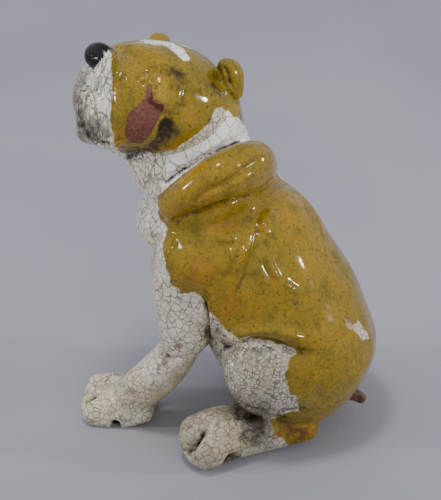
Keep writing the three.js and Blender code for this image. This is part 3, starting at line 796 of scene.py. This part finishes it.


# Rust, beige and amber: stains, and beige that warms and darkens the underside of the near forearm.
RUST = [(166, 358, 7, 0.9), (178, 346, 5, 0.9), (162, 366, 5, 0.5), (288, 428, 8, 0.9), (303, 434, 8, 1.0),
        (276, 436, 6, 0.7), (318, 428, 6, 0.6), (152, 101, 4, 1.0), (160, 106, 4, 1.0), (164, 111, 3, 0.9),
        (348, 321, 5, 1.0), (354, 330, 4, 0.7), (300, 348, 6, 0.35), (158, 104, 4, 0.9), (154, 94, 4, 0.7),
        (214, 410, 8, 0.45), (196, 456, 5, 0.4), (232, 400, 7, 0.2), (345, 375, 9, 0.25), (352, 300, 8, 0.25)]
BEIGE = [(190, 364, 10, 0.9), (176, 380, 10, 1.0), (160, 396, 10, 0.9), (130, 400, 24, 0.25),
         (215, 440, 26, 0.25), (95, 100, 14, 0.15), (160, 93, 8, 0.7), (190, 117, 11, 0.5),
         (235, 110, 9, 0.5), (205, 406, 10, 0.9), (225, 405, 9, 0.8)]
AMBER = [(203, 268, 16, 0.9), (235, 300, 14, 0.6), (222, 312, 10, 0.6), (340, 290, 12, 0.4),
         (180, 208, 9, 0.5), (200, 196, 10, 0.4), (225, 215, 8, 0.5), (250, 318, 12, 0.5),
         (330, 265, 10, 0.3), (275, 300, 14, 0.4), (300, 340, 14, 0.4), (190, 118, 9, 0.4),
         (150, 150, 8, 0.4)]

# Grey of the white glaze: whole pieces a little greyer; painted shade on the far lip, turned from the light,
# and on spots along lower edges, under the thigh and on the belly.
FAR_LIP_START = 0.2
FAR_LIP_FADE = 4
FAR_LIP_MOST = 0.85
PIECE_SHADE = {"thigh": 0.52, "hind_foot": 0.48, "torso": 0.06, "foreleg": 0.12}
SHADE = [(96, 132, 12, 0.7), (88, 126, 10, 0.6), (104, 138, 8, 0.7), (250, 424, 15, 0.9), (268, 430, 14, 0.9),
         (228, 413, 13, 0.75), (206, 410, 10, 0.55), (246, 442, 12, 0.6), (264, 446, 14, 0.6),
         (195, 452, 12, 0.3), (240, 396, 15, 0.75), (264, 406, 15, 0.7), (230, 376, 8, 0.7),
         (176, 262, 12, 0.2), (215, 340, 12, 0.5), (218, 325, 9, 0.5), (172, 372, 10, 0.3),
         (168, 345, 10, 0.25)]


def shade_paint():
    """How grey the white glaze is, with painted shade on the far lip and in the shade spots."""
    far_lip = np.clip(FAR_LIP_START + inside(FAR_FLEW, direct) / FAR_LIP_FADE, 0, FAR_LIP_MOST)
    shade = np.where(on_head & facing, far_lip, 0.0)
    for kind, amount in PIECE_SHADE.items():
        shade = np.where(lies_on(*[node for node in NAMES if node.endswith(kind)]), amount, shade)
    return np.maximum(shade, blots(SHADE))


# Kinds of crackle: wide cells on the collar and blaze, small ones on the thighs, and long ones on the
# lips, throat and chest tuft.
WIDE_CELLS = -1.0
PLAIN_CELLS = 0.0
SMALL_CELLS = 1.0
LONG_CELLS = 2.0
COLLAR_START = 165
BLAZE_MARGIN = 2
TUFT = [(125, 184), (166, 180), (164, 200), (166, 232), (125, 240)]


def cell_paint():
    """The kind of crackle at each corner."""
    collar = direct[:, 0] > COLLAR_START
    cells = np.where(lies_on("left_thigh", "right_thigh"), SMALL_CELLS, PLAIN_CELLS)
    cells = np.where(on_neck & collar, WIDE_CELLS, cells)
    cells = np.where((on_neck & ~collar) | lies_on("left_flew", "right_flew"), LONG_CELLS, cells)
    cells = np.where(facing & ~on_head & (inside(TUFT, direct) > 0), LONG_CELLS, cells)
    return np.where(facing & on_head & (inside(BLAZE, direct) > -BLAZE_MARGIN), WIDE_CELLS, cells)


PAINTS = {"white": white_paint(), "maroon": seen(RED_PATCH, facing & on_head), "soot": soot_and_shade_paint(),
          "rust": blots(RUST), "beige": blots(BEIGE), "shade": shade_paint(), "fine": cell_paint(),
          "amber": blots(AMBER)}


SPECULAR = 0.36


class Tree:
    """Short ways to lay out a material's nodes."""

    def __init__(self, name):
        self.material = bpy.data.materials.new(name)
        self.material.use_nodes = True
        self.nodes = self.material.node_tree.nodes
        self.links = self.material.node_tree.links
        self.shader = self.nodes["Principled BSDF"]

    def put(self, socket, value):
        if isinstance(value, bpy.types.NodeSocket):
            self.links.new(value, socket)
        else:
            socket.default_value = value

    def make(self, kind, output, inputs, **settings):
        node = self.nodes.new(kind)
        for key, value in settings.items():
            setattr(node, key, value)
        for key, value in inputs.items():
            self.put(node.inputs[key], value)
        return node.outputs[output]

    def paint(self, name):
        return self.make("ShaderNodeAttribute", "Fac", {}, attribute_name=name)

    def math(self, operation, a, b):
        return self.make("ShaderNodeMath", 0, {0: a, 1: b}, operation=operation)

    def times(self, a, b, clamp=False):
        return self.make("ShaderNodeMath", 0, {0: a, 1: b}, operation="MULTIPLY", use_clamp=clamp)

    def vector(self, operation, a, b):
        return self.make("ShaderNodeVectorMath", 0, {0: a, 1: b}, operation=operation)

    def scaled(self, a, scale):
        return self.make("ShaderNodeVectorMath", 0, {0: a, "Scale": scale}, operation="SCALE")

    def step(self, value, low, high, out_low=0.0, out_high=1.0):
        return self.make("ShaderNodeMapRange", 0, {0: value, 1: low, 2: high, 3: out_low, 4: out_high},
                         interpolation_type="SMOOTHSTEP")

    def mix(self, share, one, two, blend="MIX"):
        node = self.nodes.new("ShaderNodeMix")
        node.data_type = "RGBA"
        node.blend_type = blend
        self.put(node.inputs[0], share)
        self.put(node.inputs[6], one)
        self.put(node.inputs[7], two)
        return node.outputs[2]

    def field(self, name, noise, ragged, low, high):
        """A painted field whose edge wanders by ragged mm with noise from 0 to 1."""
        wander = self.times(self.math("SUBTRACT", noise, 0.5), ragged)
        return self.step(self.math("ADD", self.paint(name), wander), low, high)

    def blotch(self, name, curl):
        """A painted patch of soot, shade or rust whose edge is broken up by noise from -0.5 to 0.5."""
        amount = self.paint(name)
        ragged = self.math("ADD", amount, self.times(curl, 1.5))
        return self.times(self.step(ragged, 0.1, 1.1), self.step(amount, 0.0, 0.15))

    def millimetres(self):
        return self.scaled(self.make("ShaderNodeTexCoord", "Object", {}), 1 / MM)

    def noise(self, place, size, detail=3.0, output="Fac"):
        inputs = {"Vector": place, "Scale": 1.0 / size, "Detail": detail}
        return self.make("ShaderNodeTexNoise", output, inputs)

    def cracks(self, place, cell, width):
        edge = self.make("ShaderNodeTexVoronoi", "Distance", {"Vector": place, "Scale": 1.0 / cell},
                         feature="DISTANCE_TO_EDGE")
        return self.step(edge, 0.3 * width / cell, width / cell, 1.0, 0.0)

    def finish(self, color, roughness, height, depth):
        self.put(self.shader.inputs["Base Color"], color)
        self.put(self.shader.inputs["Roughness"], roughness)
        self.put(self.shader.inputs["Specular IOR Level"], SPECULAR)
        bump = self.make("ShaderNodeBump", 0, {"Height": height, "Distance": depth, "Strength": 1.0})
        self.put(self.shader.inputs["Normal"], bump)
        return self.material


def color(r, g, b):
    """A linear colour from the usual 0 to 255 steps."""
    return (*(((c / 255) / 12.92 if c < 11 else ((c / 255 + 0.055) / 1.055) ** 2.4) for c in (r, g, b)), 1.0)


def crack_lines(t, place, cloud, cells):
    """Crazing in wide, plain, small or long cells."""
    drift = t.vector("SUBTRACT", t.noise(place, 9.0, 2.0, "Color"), (0.5, 0.5, 0.5))
    bent = t.vector("ADD", place, t.scaled(drift, 5.0))
    hair = t.times(t.cracks(bent, 2.3, 0.16), t.step(cloud, 0.4, 0.6))
    plain = t.math("MAXIMUM", t.cracks(bent, 3.4, 0.34), t.times(hair, 0.8))
    drawn = t.vector("MULTIPLY", bent, (1.0, 1.0, 0.34))
    lines = t.mix(cells["wide"], plain, t.cracks(bent, 6.0, 0.28))
    lines = t.mix(cells["small"], lines, t.cracks(bent, 2.0, 0.34))
    lines = t.mix(cells["long"], lines, t.cracks(drawn, 2.3, 0.3))
    return t.times(lines, t.step(t.noise(place, 5.0, 2.0), 0.3, 0.6, 0.5, 1.0))


def ochre_field(t, place, cloud, patch, lines):
    """Mottled ochre glaze, olive to honey, with dark crazing and flecks."""
    ochre = t.mix(t.step(cloud, 0.36, 0.64), color(132, 112, 26), color(156, 125, 32))
    ochre = t.mix(t.step(patch, 0.5, 0.8, 0.0, 0.5), ochre, color(180, 124, 18))
    ochre = t.mix(t.step(patch, 0.5, 0.25, 0.0, 0.7), ochre, color(104, 90, 26))
    ochre = t.mix(t.times(lines, 0.32), ochre, color(54, 46, 20))
    ochre = t.mix(t.times(t.paint("beige"), 0.5, True), ochre, color(198, 160, 70))
    ochre = t.mix(t.times(t.paint("amber"), 0.38, True), ochre, color(178, 110, 14))
    return t.mix(t.step(t.noise(place, 1.7, 4.0), 0.57, 0.7, 0.0, 0.7), ochre, color(68, 54, 24))


def white_field(t, place, cloud, grain, lines, cells):
    """Crackled white glaze, cleaner and whiter where the cells are wide or long; on collar and blaze the
    whiter glaze is partly painted light.
    """
    pale = t.mix(t.step(cloud, 0.35, 0.65), color(226, 219, 199), color(222, 208, 175))
    pale = t.mix(t.step(grain, 0.5, 0.75, 0.0, 0.3), pale, color(168, 163, 150))
    pale = t.mix(t.step(t.noise(place, 4.0, 3.0), 0.6, 0.74, 0.0, 0.35), pale, color(150, 140, 118))
    # Whiter glaze where the cells are wide, partly painted light on the collar under the head.
    pale = t.mix(t.math("MAXIMUM", cells["wide"], t.times(cells["long"], 0.3)), pale, color(252, 250, 243))
    pale = t.mix(t.times(lines, 0.74), pale, color(74, 71, 66))
    return t.mix(t.times(t.paint("beige"), 0.8, True), pale, color(178, 160, 120))


def red_clay(t, grain):
    """Bare clay, dark red where the rust paint lies on it."""
    clay = t.mix(t.step(grain, 0.35, 0.7), color(100, 58, 46), color(128, 82, 68))
    return t.mix(t.step(t.paint("rust"), 0.1, 0.7, 0.0, 0.9), clay, color(60, 15, 12))


def crackle_glaze(name):
    """Raku glaze: ochre and white fields meeting in a ragged line, crazed, stained by smoke and darkened by
    painted shade.
    """
    t = Tree(name)
    place = t.millimetres()
    cloud = t.noise(place, 26.0, 4.0)
    patch = t.noise(place, 7.0, 4.0)
    grain = t.noise(place, 1.4, 3.0)
    fine = t.paint("fine")
    cells = {"wide": t.step(fine, -0.4, -0.6), "small": t.step(fine, 0.4, 0.6),
             "long": t.step(fine, 1.4, 1.6)}
    lines = crack_lines(t, place, cloud, cells)
    white = t.field("white", patch, 5.0, -0.35, 0.35)
    bare = t.field("maroon", patch, 3.0, -0.2, 0.25)
    base = t.mix(white, ochre_field(t, place, cloud, patch, lines),
                 white_field(t, place, cloud, grain, lines, cells))
    # Painted shade: the white glaze is greyed where the shade paint lies.
    shade = t.times(t.paint("shade"), t.step(patch, 0.3, 0.7, 0.7, 1.0))
    base = t.mix(t.times(shade, white), base, color(118, 116, 112), "MULTIPLY")
    curl = t.math("SUBTRACT", t.noise(place, 2.6, 5.0), 0.5)
    base = t.mix(t.times(t.blotch("rust", curl), 0.8), base, color(112, 58, 34))
    # Soot, and painted shade in cuts, seams and hollows.
    base = t.mix(t.blotch("soot", curl), base, color(38, 31, 22))
    base = t.mix(bare, base, red_clay(t, grain))
    rough = t.mix(white, t.step(grain, 0.3, 0.7, 0.09, 0.11), t.step(grain, 0.3, 0.7, 0.2, 0.32))
    rough = t.mix(bare, rough, (0.7, 0.7, 0.7, 1))
    waves = t.times(t.noise(place, 13.0, 0.0), 2.2)
    height = t.math("SUBTRACT", waves, t.times(t.times(lines, white), 0.02))
    height = t.math("ADD", height, t.times(bare, t.times(grain, 0.25)))
    return t.finish(base, rough, height, 0.0007)


def dark_glaze(name):
    t = Tree(name)
    spot = t.noise(t.millimetres(), 4.0, 4.0)
    base = t.mix(t.step(spot, 0.4, 0.7), color(9, 9, 12), color(26, 25, 29))
    return t.finish(base, t.step(spot, 0.3, 0.7, 0.08, 0.2), spot, 0.0006)


def eye_glaze(name):
    t = Tree(name)
    place = t.millimetres()
    drawn = t.vector("MULTIPLY", place, (1.0, 1.0, 0.3))
    streak = t.step(t.noise(drawn, 0.9, 2.0), 0.56, 0.66)
    spot = t.noise(place, 3.0, 3.0)
    base = t.mix(t.step(spot, 0.35, 0.65), color(154, 120, 24), color(122, 98, 22))
    base = t.mix(t.times(streak, 0.45), base, color(206, 190, 130))
    return t.finish(base, t.step(spot, 0.3, 0.7, 0.1, 0.2), spot, 0.0003)


def bare_clay(name):
    t = Tree(name)
    spot = t.noise(t.millimetres(), 3.0, 5.0)
    base = t.mix(t.step(spot, 0.35, 0.65), color(70, 44, 36), color(118, 84, 72))
    return t.finish(base, t.step(spot, 0.3, 0.7, 0.4, 0.6), spot, 0.0008)


def paper(name):
    """Pale paper, with painted shade making it a little darker towards the front."""
    t = Tree(name)
    place = t.millimetres()
    weave = t.noise(place, 0.9, 4.0)
    cloud = t.noise(place, 160.0, 2.0)
    base = t.mix(t.step(cloud, 0.3, 0.7), color(168, 168, 178), color(178, 177, 186))
    base = t.mix(t.step(weave, 0.3, 0.7, 0.0, 0.12), base, color(150, 150, 160))
    front = t.make("ShaderNodeSeparateXYZ", 0, {0: place})
    # Painted shade: darker towards the front.
    base = t.mix(t.step(front, -250.0, 260.0, 0.0, 0.6), base, color(134, 133, 139))
    return t.finish(base, t.step(weave, 0.3, 0.7, 0.85, 0.95), weave, 0.0002)


SLOTS = {s["node"]: s["material_slot"] for s in frame["record"]["subparts"]}
MATERIALS = {"ochre_glaze": crackle_glaze("ochre_glaze"), "white_crackle": crackle_glaze("white_crackle"),
             "nose_glaze": dark_glaze("nose_glaze"), "eye_glaze": eye_glaze("eye_glaze"),
             "tail_clay": bare_clay("tail_clay")}

# Pieces: each node's share of the skin, with its rims folded inwards and closed.
FOLD = 2.0


def closed(quads):
    """Points, source corners and faces of a piece whose open rims are folded inwards and capped."""
    used, compact = np.unique(quads, return_inverse=True)
    compact = compact.reshape(-1, 4)
    faces = compact.tolist()
    after = dict(rim_of(compact, len(used)).tolist())
    points, source = V[used].tolist(), used.tolist()
    while after:
        start = corner = next(iter(after))
        ring = []
        while corner in after:
            ring.append(corner)
            corner = after.pop(corner)
        inner = V[used[ring]] - FOLD * N[used[ring]]
        first = len(points)
        points += inner.tolist() + [inner.mean(0).tolist()]
        source += used[ring].tolist() + [used[start]]
        middle = len(points) - 1
        for k in range(len(ring)):
            j = (k + 1) % len(ring)
            faces.append([ring[j], ring[k], first + k, first + j])
            faces.append([first + j, first + k, middle])
    return np.array(points), np.array(source), faces


for column, name in enumerate(NAMES):
    points, source, faces = closed(Q[face_label == column])
    mesh = mesh_from(name + "_skin", points * MM, faces)
    mesh.shade_smooth()
    mesh.normals_split_custom_set_from_vertices(N[source].tolist())
    for paint, values in PAINTS.items():
        attribute = mesh.attributes.new(paint, "FLOAT", "POINT")
        attribute.data.foreach_set("value", values[source].astype(np.float32))
    piece = bpy.data.objects.new(name + "_skin", mesh)
    bpy.context.scene.collection.objects.link(piece)
    mesh.materials.append(MATERIALS[SLOTS[name]])
    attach(piece, "root")
    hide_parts(name)

# Floor, light and camera, in metres and watts.
FLOOR_SIZE = 6
SKY = (0.9, 0.92, 1, 1)
SKY_STRENGTH = 0.64
LAMP_TARGET = Vector((0, 0, 0.1))
LAMPS = {"right_lamp": ((0.1, 1.3, 0.43), 0.12, 6.2, True),
         "left_lamp": ((0.4, -1.25, 0.45), 0.12, 5.6, True),
         "top_lamp": ((0.25, -0.1, 0.95), 0.16, 3.2, True),
         "fill_lamp": ((1.25, 0.5, 0.5), 1.0, 5, False)}

bpy.ops.mesh.primitive_plane_add(size=FLOOR_SIZE)
floor = bpy.context.object
floor.name = "floor"
floor.data.materials.append(paper("floor_paper"))

world = bpy.data.worlds.new("studio")
bpy.context.scene.world = world
world.use_nodes = True
world.node_tree.nodes["Background"].inputs["Color"].default_value = SKY
world.node_tree.nodes["Background"].inputs["Strength"].default_value = SKY_STRENGTH

for name, (place, size, power, glints) in LAMPS.items():
    light = bpy.data.lights.new(name, "AREA")
    light.size = size
    light.energy = power
    rig = bpy.data.objects.new(name, light)
    rig.location = place
    rig.visible_glossy = glints
    rig.rotation_euler = (LAMP_TARGET - Vector(place)).to_track_quat("-Z", "Y").to_euler()
    bpy.context.scene.collection.objects.link(rig)

camera = bpy.data.objects.new("camera", bpy.data.cameras.new("camera"))
camera.data.lens = FOCAL / IMAGE[1] * camera.data.sensor_width
camera.location = EYE * MM
camera.rotation_euler = Vector(-BACK).to_track_quat("-Z", "Y").to_euler()
bpy.context.scene.collection.objects.link(camera)
bpy.context.scene.camera = camera
